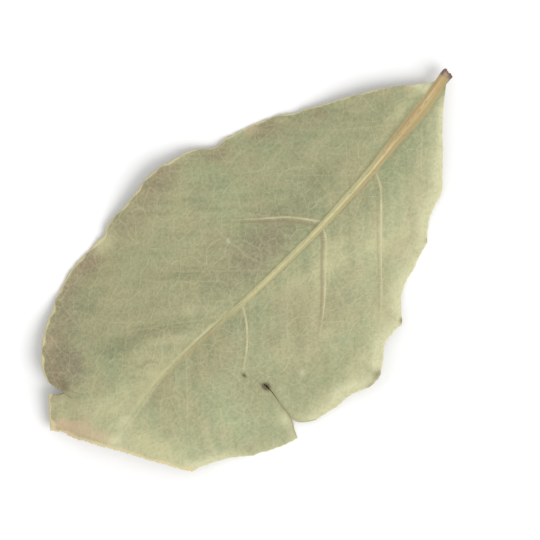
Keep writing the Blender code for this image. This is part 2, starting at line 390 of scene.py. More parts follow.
def folds(along, across):
    """Height of the folds, each a bell of its own half width that fades at its ends; and how dark the
    painted shade is on the flank on the stalk's side of one."""
    height, painted_shade_and_dull = np.zeros(along.shape), np.zeros(along.shape)
    for rise, reach, dark, stations in FOLDS:
        gap, where, beside = near_line(along, across, stations)
        stalkward = -gap * beside * np.sign(stations[-1][1] - stations[0][1])
        held = ease(*FOLD_BEGINS, where) * fade(*FOLD_FADES, where)
        height = height + rise * held * hump(gap, reach)
        # Painted shade on the flank on the stalk's side of the fold
        painted_shade_and_dull = np.maximum(painted_shade_and_dull, held * dark * hump(stalkward - FLANK_OFFSET * reach, reach))
    return height, np.clip(painted_shade_and_dull, 0, 1)


# The leaf
# Blade, midrib and stalk are one skin: an upper and a lower sheet on the same rows and columns, closed
# by a narrow wall round the margin, the snapped end, both lips of the tear and the crack, and the cut.

MM = 0.001
CENTRE_ALONG = 32.56
CENTRE_ACROSS = 0.27
RIB_COLUMNS, FIELD_COLUMNS, RIM_COLUMNS = 12, 61, 5
CUT_ROWS, ROWS_TO_TEAR, ROWS_TO_CRACK, ROWS_TO_BREAK = 6, 212, 66, 24
CUT_ROUND = 0.3
EDGE_FILLET = 0.08

side_columns = RIB_COLUMNS + FIELD_COLUMNS + RIM_COLUMNS
column = np.arange(-side_columns, side_columns + 1)
quarter_turn = np.linspace(0, math.pi / 2, CUT_ROWS, endpoint=False)
row_at = np.concatenate([
    STALK_END + CUT_ROUND * (1 - np.cos(quarter_turn)),
    np.linspace(STALK_END + CUT_ROUND, TEAR_ROW, ROWS_TO_TEAR),
    np.linspace(TEAR_ROW, CRACK_ROW, ROWS_TO_CRACK),
    np.linspace(CRACK_ROW, BREAK_AT_MIDRIB, ROWS_TO_BREAK),
])
tear_lip_row = CUT_ROWS + ROWS_TO_TEAR - 1
crack_lip_row = tear_lip_row + ROWS_TO_CRACK
past_tear = np.arange(len(row_at)) > tear_lip_row
past_crack = np.arange(len(row_at)) > crack_lip_row

middle = smooth_through(MIDRIB_LINE, row_at)
rib_radius = smooth_through(RIB_RADIUS, row_at)
left_blade = middle - edge_of(row_at, -1, past_tear, past_crack)
right_blade = edge_of(row_at, 1, past_tear, past_crack) - middle
left_width = soft_max(left_blade, rib_radius, EDGE_FILLET) - EDGE_FILLET / 2
right_width = soft_max(right_blade, rib_radius, EDGE_FILLET) - EDGE_FILLET / 2

# Columns: on the stalk, evenly round its girth; on the blade, close together at the rib and the rim.
# The rib's columns reach out some radii, but neither they nor the rim's take more than a share. One way
# goes over into the other as the half width grows from 1 to 3.5 mm.
RIB_ZONE = 2.2
RIB_ZONE_SHARE = 0.45
RIM_ZONE_SHARE = 0.1
STALK_TO_BLADE = (1.0, 3.5)

steps = np.abs(column)[None, :]
side = np.where(column < 0, -1.0, 1.0)[None, :]
width = np.where(side < 0, left_width[:, None], right_width[:, None])
radius = rib_radius[:, None]
rib_zone = np.minimum(RIB_ZONE * radius, RIB_ZONE_SHARE * width)
rim_zone = np.minimum(RIM_ROUND, RIM_ZONE_SHARE * width)
rib_part = np.clip(steps / RIB_COLUMNS, 0, 1)
field_part = np.clip((steps - RIB_COLUMNS) / FIELD_COLUMNS, 0, 1)
rim_part = np.sin(math.pi / 2 * np.clip((steps - RIB_COLUMNS - FIELD_COLUMNS) / RIM_COLUMNS, 0, 1))
round_girth = width * np.sin(math.pi / 2 * steps / side_columns)
on_blade = rib_zone * rib_part + (width - rib_zone - rim_zone) * field_part + rim_zone * rim_part
from_middle = round_girth + (on_blade - round_girth) * ease(*STALK_TO_BLADE, width)

# The cut across the stalk is a little askew, and rough by two sines
CUT_SLANT = 0.16
CUT_REACH = 0.4

rows = row_at[:, None]
across = middle[:, None] + side * from_middle
along = along_of(rows, across, past_tear[:, None], past_crack[:, None])
cut_rough = CUT_SLANT * across + 0.05 * np.sin(7 * across) + 0.03 * np.sin(17 * across + 1)
along = along + cut_rough * np.exp(-(rows - STALK_END) / CUT_REACH)
out = from_middle / width
from_rim = width - from_middle
in_radii = from_middle / radius
signed = side * from_middle
down_vein = (along + from_middle) / math.sqrt(2)
over_vein = (along - from_middle) / math.sqrt(2)

# Unevenness of the dried blade: (height, size, from the midrib to where it is full, seed)
BUCKLES = [(0.10, 9.0, 6.0, 3), (0.05, 4.0, 4.0, 4)]
CRIMP = 0.014
# Where the blade comes away from the rib, counted in the rib's radii, and from the stalk, along it
LEAVES_RIB = (0.8, 1.4)
LEAVES_STALK = (0.3, 4.0)
# Far from the stalk a low roll lies on the midrib's left and a dip on its right: (height, where
# across the midrib, reach)
RIB_ROLL = (0.07, -0.8, 0.6)
RIB_DIP = (-0.08, 0.4, 0.5)
# How far the rim turns up where it swells, and how far in
RIM_TURN_UP = (0.35, 0.7)
# One lip of the tear and of the crack lies higher than the other: (the stalk's, the tip's)
TEAR_LIP_HEIGHTS = (0.12, -0.16)
CRACK_LIP_HEIGHTS = (0.25, -0.25)
LIP_BEND = 2.0
# How far the blade's lower face stays above the table, and how softly it levels out there
TABLE_GAP, TABLE_FILLET = 0.03, 0.1

blade_starts = ease(*LEAVES_STALK, rows)
away_from_rib = ease(*LEAVES_RIB, in_radii)
far_rib = ease(37.0, 44.0, rows) * fade(53.0, 58.5, rows)
height = blade_height(rows, along, out, width, side)
for rise, size, full_at, seed in BUCKLES:
    height = height + rise * waves(along, across, size, seed) * ease(1.0, full_at, from_middle)
vein_gap, vein_strength, seam_strength, strength_below, groove = side_veins(along, across)
vein_strength = vein_strength * away_from_rib * (1 + 0.25 * waves(along, across, 1.9, 6))
strength_below = strength_below * away_from_rib
height = height - GROOVE_DEPTH * groove * away_from_rib
fold_height, painted_shade_and_dull = folds(along, across)
height = height + fold_height * away_from_rib
beside_rib = sum(rise * hump(signed - at, reach) for rise, at, reach in (RIB_ROLL, RIB_DIP))
height = height + beside_rib * far_rib
swell = np.where(side < 0, rim_swell(along, LEFT_RIM_SWELLS), rim_swell(along, RIGHT_RIM_SWELLS))
height = height + RIM_TURN_UP[0] * swell * hump(from_rim, RIM_TURN_UP[1])
height = height + CRIMP * waves(0.15 * down_vein, over_vein + 3 * side, 1.7, 5) * away_from_rib
height = height + CRIMP * waves(along, across, 2.4, 7) * away_from_rib
at_tear = hump(rows - TEAR_ROW, LIP_BEND) * ease(8.8, 14.0, across)
height = height + np.where(past_tear[:, None], TEAR_LIP_HEIGHTS[1], TEAR_LIP_HEIGHTS[0]) * at_tear
at_crack = hump(rows - CRACK_ROW, LIP_BEND) * ease(-8.0, -10.5, across)
height = height + np.where(past_crack[:, None], CRACK_LIP_HEIGHTS[1], CRACK_LIP_HEIGHTS[0]) * at_crack
height = soft_max(height, HALF_THICKNESS + TABLE_GAP, TABLE_FILLET)
rib_middle = smooth_through(MIDRIB_HEIGHT, rows) - RIB_HANG * (radius - RIB_SEAT)
rib_middle = rib_middle - RIB_SINK * ease(*RIB_SINKS, rows)
height = rib_middle + (height - rib_middle) * blade_starts

# The two sheets: the blade's middle with half its thickness and its veins on each face, or the rib's
# round back where that stands further out. The furrows are a cosine across the stalk that wanders.
rim_turn = np.sqrt(1 - (1 - np.clip(from_rim / RIM_ROUND, 0, 1)) ** 2)
half_thick = LEAST_HALF_THICKNESS + (HALF_THICKNESS - LEAST_HALF_THICKNESS) * rim_turn * blade_starts
furrow = np.cos(2.6 * math.pi * signed / radius + 1.2 * np.sin(rows / 3.1)) * hump(in_radii, 0.8)
furrow = furrow * (0.6 + 0.4 * np.sin(rows / 1.7 + 3 * signed)) * fade(*FURROWS_FADE, rows)
bead = np.sqrt(np.maximum(radius**2 - from_middle**2, 0))
bead = bead - RIB_SIDE_SLOPE * np.maximum(from_middle - radius, 0)
bead = bead - FURROW_DEPTH * radius * (1 + furrow)
threads = vein_strength * hump(vein_gap, VEIN_REACH)
threads_below = strength_below * hump(vein_gap, VEIN_REACH)
upper = soft_max(height + half_thick + VEIN_RISE * threads, rib_middle + bead, RIB_FILLET)
lower = soft_max(half_thick - height + VEIN_RISE_BELOW * threads_below, bead - rib_middle, RIB_FILLET)
lower = np.maximum(-lower, 0.0)
upper = np.maximum(upper, lower + 2 * LEAST_HALF_THICKNESS)

# Soft spots of colour, in lists by kind: (along, across, reach along, reach across, strength)

# Grey-brown patches
GREY_SPOTS = [
    (31.2, -2.2, 5.4, 2.6, 0.78), (58.3, -10.4, 2.5, 2.5, 1.2), (33.7, -16.9, 3.2, 1.8, 0.55),
    (50.4, -16.9, 1.8, 1.3, 0.7), (54.4, -14.0, 4.6, 2.6, 0.55), (29.1, 9.5, 2.6, 1.4, 0.4),
    (35.2, 9.4, 2.6, 1.5, 0.3), (34.4, -7.0, 3.0, 2.2, 0.3), (39.9, -16.6, 3.4, 1.8, 0.4),
    (20.5, 3.6, 4.0, 1.5, 0.2), (44.5, 4.0, 3.0, 1.6, 0.3), (39.0, 5.4, 3.0, 2.4, 0.25),
    (17.0, -7.8, 2.4, 1.6, 0.2),
]
# Dull and darker: partly the leaf's own duller tone, partly painted shade where the blade lies less lit
SHADE_AND_DULL_SPOTS = [
    (37.6, -2.9, 2.8, 1.7, 0.9), (43.6, 1.4, 2.8, 1.2, 0.4), (53.2, -7.2, 2.8, 1.8, 0.6),
    (11.2, 4.2, 4.4, 2.2, 0.45), (24.0, -1.4, 6.0, 2.3, 1.1), (40.6, 11.8, 3.0, 2.0, 0.65),
    (34.6, -1.1, 2.6, 1.2, 0.55), (45.0, -7.6, 3.6, 1.4, 0.3), (27.4, -4.6, 3.0, 2.4, 0.5),
    (44.6, 8.2, 3.4, 2.0, 0.7), (39.1, 1.8, 1.6, 1.3, 0.8), (46.5, 3.2, 3.4, 1.6, 0.4),
    (17.6, 4.0, 3.4, 2.0, 0.45), (7.9, -5.0, 2.2, 1.0, 0.7), (39.6, -4.5, 2.0, 1.3, 0.7),
    (32.6, -4.8, 3.2, 1.9, 0.85), (19.4, -2.9, 2.4, 1.4, 0.5), (45.2, 10.8, 1.9, 1.5, 0.55),
    (37.9, 12.0, 1.8, 1.2, 0.4), (30.3, 8.0, 1.8, 1.0, 0.6), (41.4, 12.8, 1.4, 1.4, 0.4),
    (40.3, -18.0, 2.0, 1.0, 0.5), (16.2, -10.2, 2.0, 1.2, 0.5), (54.5, -12.6, 2.0, 1.4, 0.3),
    (41.9, 8.4, 1.6, 1.4, 0.4), (25.5, -7.2, 1.3, 1.0, 0.45), (6.0, -3.2, 0.8, 0.6, 0.4),
]
# Paler and yellower
PALE_SPOTS = [
    (56.4, -2.8, 3.4, 1.9, 0.5), (59.5, 3.7, 2.8, 4.6, 0.95), (62.2, -8.4, 1.8, 1.6, 0.5),
    (26.5, 9.0, 6.0, 3.0, 0.2), (31.3, 4.4, 1.7, 2.2, 0.5), (44.0, -17.1, 1.7, 1.1, 0.8),
    (43.8, -3.7, 1.8, 1.2, 0.45), (48.4, -9.4, 2.2, 1.4, 0.3), (51.0, -1.9, 4.0, 0.9, 0.4),
    (33.8, 10.4, 1.3, 1.2, 0.5), (17.4, -5.5, 3.0, 1.4, 0.55), (34.0, 16.1, 3.0, 1.4, 0.6),
    (2.6, -0.6, 0.9, 0.6, 1.0), (3.6, -1.3, 0.9, 0.7, 0.9), (6.8, -1.0, 3.2, 1.1, 0.5),
    (20.6, 7.8, 2.8, 2.0, 0.5), (26.0, 4.8, 2.4, 1.8, 0.75), (28.6, 5.2, 1.6, 1.4, 0.35),
    (27.5, 14.0, 2.4, 1.6, 0.4), (60.0, -4.2, 1.8, 1.6, 0.5), (58.4, 7.2, 1.8, 2.4, 0.7),
    (63.2, -6.2, 1.4, 1.1, 0.65), (22.0, -8.6, 2.6, 1.6, 0.4), (17.4, 9.3, 1.4, 1.1, 0.4),
]
# Nearly straw
BRIGHT_SPOTS = [
    (61.0, 0.6, 2.2, 1.8, 0.6), (2.6, -0.6, 1.0, 0.8, 0.6), (58.2, -0.7, 1.6, 0.8, 0.35),
    (37.6, 17.6, 2.6, 1.4, 0.4), (31.6, 17.2, 1.4, 1.0, 0.4), (45.0, 14.0, 1.0, 1.0, 0.35),
]
# Reddish tan
ROSE_SPOTS = [
    (50.7, -17.0, 2.6, 1.3, 0.2), (61.6, -4.4, 0.9, 1.0, 0.5), (25.3, -11.5, 2.0, 1.2, 0.3),
    (43.3, -11.4, 1.6, 1.4, 0.3), (21.5, -13.2, 1.4, 0.8, 0.5), (57.5, -13.8, 1.6, 0.8, 0.4),
    (35.0, 11.6, 3.4, 2.0, 0.2), (4.3, -2.2, 0.9, 0.5, 0.7),
]
# Still green
GREEN_SPOTS = [
    (11.0, 2.9, 4.6, 1.5, 0.9), (53.2, -7.4, 3.0, 2.0, 0.4), (39.0, 14.6, 2.6, 1.6, 0.8),
    (49.6, 5.4, 4.5, 3.0, 0.6), (8.5, -3.0, 4.0, 1.6, 0.3), (16.0, 4.6, 3.0, 1.6, 0.5),
    (45.5, 12.0, 2.2, 2.2, 0.5),
]
# Nearly black: round the hole, at the end of a side vein and at corners of the margin; by the crack it is
# painted shade
DARK_AND_SHADE_SPOTS = [
    (43.5, 9.5, 0.5, 0.6, 1.3), (44.3, 6.55, 0.24, 0.4, 1.3), (43.75, 7.9, 0.16, 1.2, 0.35),
    (16.75, 12.3, 0.5, 0.35, 0.7), (26.3, 16.6, 0.5, 0.4, 0.7), (33.2, 18.7, 0.9, 0.6, 0.65),
    (35.0, 19.0, 0.9, 0.4, 0.5), (60.2, -9.0, 0.9, 1.3, 0.5),
]
# Light specks
SPECKS = [(33.4, -5.9, 0.35, 0.45, 0.65), (39.3, 11.7, 0.5, 0.5, 0.55)]


def spots(listed, seed, uneven=0.3):
    """The sum of the bells of the listed spots, made uneven by waves 2.6 mm long, and at most 1."""
    total = np.zeros(along.shape)
    for at_along, at_across, reach_along, reach_across, strength in listed:
        total += strength * hump(along - at_along, reach_along) * hump(across - at_across, reach_across)
    return np.clip(total * (1 + uneven * waves(along, across, 2.6, seed)), 0, 1)


# Distances to the margin, square to it, to the snapped end, the tear and the crack
STEEPEST = 1.2
FAR_OFF = 9.0

slope = np.abs(np.gradient(across, axis=0)) / np.maximum(np.abs(np.gradient(along, axis=0)), 1e-6)
rim_distance = np.maximum(from_rim * np.cos(np.arctan(np.minimum(slope, STEEPEST))), 0)
snap_distance = (BREAK_AT_MIDRIB - rows) * math.cos(math.atan(BREAK_SLANT))
tear_reached = ease(8.6, 9.6, across)
tear_distance = np.abs(rows - TEAR_ROW) * tear_reached + FAR_OFF * (1 - tear_reached)
crack_distance = np.abs(rows - CRACK_ROW) + FAR_OFF * fade(-8.0, -8.6, across)

# The rim is a pale band, wider on the left, and so is the snapped end, with a rosy band inside it. The left
# margin is tanned, with painted shade along the crack, and a painted glow spreads in from the right one,
# where the blade is thin, from the left one's swells and near the stalk.
LEFT_RIM, LEFT_RIM_LATER, RIGHT_RIM, RIM_SWELLS_BY = 0.14, 0.05, 0.05, 0.4
SNAPPED_RIM = 0.36

rim_width = np.where(side < 0, LEFT_RIM + LEFT_RIM_LATER * ease(28, 36, along), RIGHT_RIM)
rim_width = rim_width + RIM_SWELLS_BY * swell
rim_width = rim_width * np.clip(1 + 0.7 * waves(along, across, 2.4, 12), 0.3, 2.0)
snap_width = SNAPPED_RIM + 0.12 * waves(along, across, 3.0, 13)
snapped_rose = hump(snap_distance - 1.1, 0.9) * ease(-8.0, -6.0, across) * fade(-1.5, 1.0, across)
tanned_and_crack_shade = np.where(side < 0, ease(9.0, 16.0, along), 0) * hump(rim_distance - 0.7, 2.0)
tanned_and_crack_shade = tanned_and_crack_shade * (0.45 + 0.25 * waves(along, across, 6.0, 28) + 0.3 * hump(along - 50.5, 3.5))
# Painted shade along the crack
tanned_and_crack_shade = tanned_and_crack_shade + 0.5 * hump(crack_distance, 0.7)
# Painted glow along the margins
painted_glow_reach = np.where(side < 0, 1.1 + 0.8 * fade(3.0, 5.0, along), 0.8 + 0.9 * ease(5.0, 12.0, along))
painted_glow_and_straw = np.exp(-((rim_distance / painted_glow_reach) ** 1.3)) * np.where(
    side < 0,
    0.9 * swell + 1 - ease(2.8, 5.0, along),
    ease(0.0, 5.0, along) * (1 - 0.55 * ease(44.5, 47.0, along) * fade(50, 55, along)),
)

# The midrib is tan at the stalk and turns pale, has painted shade on its right side, and painted shade
# beside it.
# Far from the stalk a pale thread, a pale band, a dotted dark line on its left and a line of painted shadow
# on its right are all that show of it, with painted shade to the right. Numbers are millimetres here: rows
# count along the midrib, and signed across it.
on_rib = fade(0.85, 1.1, in_radii)
# Painted shade on the rib's right side
painted_rib_shade = on_rib * ease(0.2, 0.95, (from_middle + 0.8 * signed) / radius)
painted_rib_shade = painted_rib_shade * (1 - 0.4 * ease(16.0, 40.0, rows)) * fade(46.0, 54.0, rows)
# Painted shade beside the rib, where the blade meets it
painted_shade_beside_rib = hump(np.maximum(in_radii - 1, 0), 0.8)
painted_shade_beside_rib = painted_shade_beside_rib * (1 - 0.8 * ease(30.0, 44.0, rows) - 0.2 * ease(52.0, 57.0, rows))
painted_shade_beside_rib = painted_shade_beside_rib * np.where(side < 0, ease(3.0, 8.0, rows), 1)
pale_thread = hump(signed + 0.3, 0.22) * ease(34.0, 42.0, rows) * fade(55.0, 60.0, rows)
rib_pale = on_rib * (ease(3.0, 24.0, rows) + 0.3 * hump(rows - 4.0, 1.2)) * fade(32.0, 45.0, rows)
rib_pale = rib_pale + 0.45 * pale_thread
rib_band = ease(-2.4, -0.9, signed) * fade(-0.1, 0.4, signed) * far_rib
rib_band = rib_band * (0.4 + 0.6 * ease(44, 50, rows))
# A line of painted shadow right of the far midrib, and a dotted dark line on its left
right_shadow_line = 0.55 * hump(signed - 0.34, 0.2) * fade(51, 56, rows)
left_line = 0.35 * (1 + np.sin(5 * rows)) * hump(signed + 0.75, 0.22) * fade(47, 54, rows)
furrow_shade = 1 - np.clip(furrow + 0.2, 0, 1) + 0.5 * hump(rows - 8.2, 1.8) + hump(rows - 0.9, 0.8)
# Painted shade spreading right of the far midrib
painted_shade_right_of_rib = ease(0.0, 0.6, signed) * fade(1.6, 3.6, signed) * far_rib

# Where the colour changes. At every point of the sheets a mask is 0 for none of it and 1 or more for
# all of it, but vein_gap is a distance, and rim and snapped are distances over the width of the band.
masks = {
    "rib": on_rib * fade(28.0, 40.0, rows),
    "painted_rib_shade": painted_rib_shade,
    "painted_shade_beside_rib": painted_shade_beside_rib,
    "rib_pale": rib_pale,
    "rib_band": rib_band,
    "rib_line": (right_shadow_line + left_line) * far_rib,
    "furrow": on_rib * furrow_shade * fade(48.0, 56.0, rows),
    # Painted shade on the stalk's side of each fold and right of the far midrib, with the dull and darker
    # spots
    "painted_shade_and_dull": np.clip(np.maximum(painted_shade_and_dull, spots(SHADE_AND_DULL_SPOTS, 27)) + 0.35 * painted_shade_right_of_rib, 0, 1),
    "vein_gap": np.clip(vein_gap, -3, 3),
    "vein": vein_strength,
    "seam": seam_strength,
    # Darker olive-brown along the tear and the crack: brown torn edges and painted shade
    "torn": np.maximum(hump(tear_distance, 0.32), hump(crack_distance, 0.3)),
    "tanned_and_crack_shade": np.clip(tanned_and_crack_shade, 0, 1),
    "rim": np.minimum(rim_distance / rim_width, FAR_OFF) + FAR_OFF * (1 - blade_starts),
    "snapped": np.minimum(snap_distance / snap_width, FAR_OFF),
    # Painted glow, and the straw spots
    "painted_glow_and_straw": np.clip(painted_glow_and_straw + spots(BRIGHT_SPOTS, 29), 0, 1),
    "grey": spots(GREY_SPOTS, 21, 0.12),
    "pale": spots(PALE_SPOTS, 22),
    "rose": np.clip(spots(ROSE_SPOTS, 23) + 0.85 * snapped_rose, 0, 1),
    "green": spots(GREEN_SPOTS, 24),
    "dark": spots(DARK_AND_SHADE_SPOTS, 25),
    "speck": spots(SPECKS, 26),
    "underside": 0.0,
    "cut_end": fade(0.1, 0.9, rows + 0.3 * across),
    "pith": hump(rows - 0.15, 0.22) * hump(signed - 0.05, 0.3),
}

# What is otherwise on the lower face
masks_below = {
    "underside": 1.0,
    "vein": strength_below,
    "seam": 0.5 * strength_below,
    "rib": on_rib,
    "rib_pale": on_rib * ease(3.0, 24.0, rows),
    "rib_band": 0.0,
    "rib_line": 0.0,
    "grey": 0.5 * masks["grey"],
    "painted_shade_and_dull": 0.0,
}

# Coordinates down and over the side veins, for patterns that follow them; 40 mm keeps the halves apart
HALVES_APART = 40
flow = MM * np.stack([down_vein, over_vein, HALVES_APART * side + 0 * along], axis=-1)

# One skin: the torn rows share their points up to the inner end of the tear and of the crack
row_count, column_count = along.shape
place = np.arange(row_count * column_count).reshape(row_count, column_count)
tear_column = int(np.argmin(np.abs(across[tear_lip_row] - TEAR_INNER)))
crack_column = int(np.argmin(np.abs(across[crack_lip_row] - CRACK_INNER)))
place[tear_lip_row + 1, : tear_column + 1] = place[tear_lip_row, : tear_column + 1]
place[crack_lip_row + 1, crack_column:] = place[crack_lip_row, crack_column:]
below = place + row_count * column_count


def sheet(points):
    """Every square of the grid between two rows and two columns, but not between a torn row's lips."""
    kept = [row for row in range(row_count - 1) if row not in (tear_lip_row, crack_lip_row)]
    a, b = points[kept], points[[row + 1 for row in kept]]
    return np.stack([a[:, :-1], b[:, :-1], b[:, 1:], a[:, 1:]], axis=-1).reshape(-1, 4)


def wall(line_above, line_below):
    """A strip between a line of points of the upper sheet and the same line of the lower one."""
    return np.stack([line_above[:-1], line_above[1:], line_below[1:], line_below[:-1]], axis=-1)


def lip(row, columns, reverse):
    """The wall along these columns of a row, run backwards where it faces the tip."""
    order = slice(None, None, -1) if reverse else slice(None)
    return wall(place[row, columns][order], below[row, columns][order])


faces = np.concatenate([
    sheet(place),
    sheet(below)[:, ::-1],
    wall(place[: crack_lip_row + 1, 0], below[: crack_lip_row + 1, 0])[:, ::-1],
    wall(place[crack_lip_row + 1 :, 0], below[crack_lip_row + 1 :, 0])[:, ::-1],
    wall(place[: tear_lip_row + 1, -1], below[: tear_lip_row + 1, -1]),
    wall(place[tear_lip_row + 1 :, -1], below[tear_lip_row + 1 :, -1]),
    lip(0, slice(None), False),
    lip(row_count - 1, slice(None), True),
    lip(tear_lip_row, slice(tear_column, None), True),
    lip(tear_lip_row + 1, slice(tear_column, None), False),
    lip(crack_lip_row, slice(0, crack_column + 1), True),
    lip(crack_lip_row + 1, slice(0, crack_column + 1), False),
])
faces = faces[(faces[:, 0] != faces[:, 1]) & (faces[:, 2] != faces[:, 3])]
points = np.concatenate([
    np.stack([along, across, upper], axis=-1).reshape(-1, 3),
    np.stack([along, across, lower], axis=-1).reshape(-1, 3),
])
points = (points - [CENTRE_ALONG, CENTRE_ACROSS, 0.0]) * MM
used, faces = np.unique(faces, return_inverse=True)
faces = faces.reshape(-1, 4)

SHARPEST_SMOOTHED = 50
skin = bpy.data.meshes.new("bay_leaf_skin")
skin.from_pydata(points[used].tolist(), [], faces.tolist())
skin.validate()
skin.shade_smooth()
skin.set_sharp_from_angle(angle=math.radians(SHARPEST_SMOOTHED))
leaf = bpy.data.objects.new("bay_leaf_skin", skin)
bpy.context.scene.collection.objects.link(leaf)
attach(leaf, "root")
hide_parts("bay_leaf")
for name in masks:
    both = np.stack([
        np.broadcast_to(masks[name], along.shape),
        np.broadcast_to(masks_below.get(name, masks[name]), along.shape),
    ])
    layer = skin.attributes.new(name, "FLOAT", "POINT")
    layer.data.foreach_set("value", both.ravel()[used].astype(np.float32))
layer = skin.attributes.new("flow", "FLOAT_VECTOR", "POINT")
layer.data.foreach_set("vector", np.tile(flow.reshape(-1, 3), (2, 1))[used].astype(np.float32).ravel())


def colour(hex_value):
    """An sRGB hex value turned to linear red, green and blue."""
    parts = np.array([int(hex_value[i : i + 2], 16) for i in (1, 3, 5)]) / 255
    linear = np.where(parts <= 0.04045, parts / 12.92, ((parts + 0.055) / 1.055) ** 2.4)
    return (*linear.tolist(), 1.0)


def add(tree, kind, inputs, **settings):
    """Adds a node: settings are its own properties, and inputs are values or the sockets that feed it."""
    made = tree.nodes.new(kind)
    for name, value in settings.items():
        setattr(made, name, value)
    for name, value in inputs.items():
        if isinstance(value, bpy.types.NodeSocket):
            tree.links.new(value, made.inputs[name])
        else:
            made.inputs[name].default_value = value
    return made


# Dried leaf: a matt, waxy cuticle over papery tissue, dried slowly in the air, so that the green has
# gone grey and the veins tan. The eye sees blotches some millimetres wide, paler threads and rims, and
# the fine net of veins as a soft grain.
LEAF_GREEN = "#949c76"
LEAF_DRAB = "#9f9a76"
LEAF_IOR = 1.4
GLOSSIEST, DULLEST = 0.5, 0.7
# A colour Mix node's two inputs and its output
MIX_A, MIX_B, MIX_OUT = 6, 7, 2

material = bpy.data.materials.new("dried_leaf")
material.use_nodes = True
tree = material.node_tree
shader = tree.nodes["Principled BSDF"]
place_on = add(tree, "ShaderNodeTexCoord", {}).outputs["Object"]
flow_at = add(tree, "ShaderNodeAttribute", {}, attribute_name="flow").outputs["Vector"]
at = {}
for name in masks:
    at[name] = add(tree, "ShaderNodeAttribute", {}, attribute_name=name).outputs["Fac"]

# Unevenness: (name, laid on, size in mm in its three directions, detail). The grain of the real
# cuticle is under 0.1 mm, too fine to show, so it is drawn 0.4 mm.
pattern = {}
for name, laid_on, sizes, detail in [
    ("blotch", place_on, (6.0, 6.0, 6.0), 3),
    ("streak", flow_at, (7.0, 1.1, 1.0), 3),
    ("mottle", place_on, (2.2, 2.2, 2.2), 3),
    ("grain", place_on, (0.4, 0.4, 0.4), 2),
]:
    sized = add(tree, "ShaderNodeMapping", {"Vector": laid_on, "Scale": [1 / (MM * size) for size in sizes]})
    made = add(tree, "ShaderNodeTexNoise",
        {"Vector": sized.outputs[0], "Scale": 1.0, "Detail": detail, "Roughness": 0.6})
    pattern[name] = made.outputs["Fac"]

# The net of fine veins, in two sizes of mesh: (name, laid on, size in mm down and over the side veins,
# half a line's width against the mesh). The smallest meshes of a real leaf are about 0.4 mm wide, too
# fine to show, so they are drawn 0.75 mm.
BENT_BY = (0.7, 0.7, 0.7)
for name, laid_on, sizes, line in [
    ("ladder", flow_at, (1.8, 2.8, 1.0), 0.07),
    ("areole", place_on, (0.75, 0.75, 0.75), 0.15),
]:
    sized = add(tree, "ShaderNodeMapping", {"Vector": laid_on, "Scale": [1 / (MM * size) for size in sizes]})
    bend = add(tree, "ShaderNodeTexNoise", {"Vector": sized.outputs[0], "Scale": 0.9, "Detail": 1.0})
    bent = add(tree, "ShaderNodeVectorMath",
        {0: bend.outputs["Color"], 1: BENT_BY, 2: sized.outputs[0]}, operation="MULTIPLY_ADD")
    mesh = add(tree, "ShaderNodeTexVoronoi", {"Vector": bent.outputs[0], "Scale": 1.0},
        voronoi_dimensions="2D", feature="DISTANCE_TO_EDGE")
    lines = add(tree, "ShaderNodeMapRange",
        {"Value": mesh.outputs["Distance"], "From Min": line, "From Max": 0.0},
        interpolation_type="SMOOTHSTEP")
    pattern[name] = lines.outputs["Result"]

# A side vein is a pale thread up to 0.4 mm wide, and its brown seam lies up to 0.6 mm off on the tip's
# side. Both distances shrink as the vein thins.
SEAM_OFFSET = 0.55
off_thread = add(tree, "ShaderNodeMath", {0: at["vein_gap"]}, operation="ABSOLUTE").outputs[0]
from_seam = add(tree, "ShaderNodeMath", {0: at["vein_gap"], 1: SEAM_OFFSET}, operation="SUBTRACT").outputs[0]
off_seam = add(tree, "ShaderNodeMath", {0: from_seam}, operation="ABSOLUTE").outputs[0]

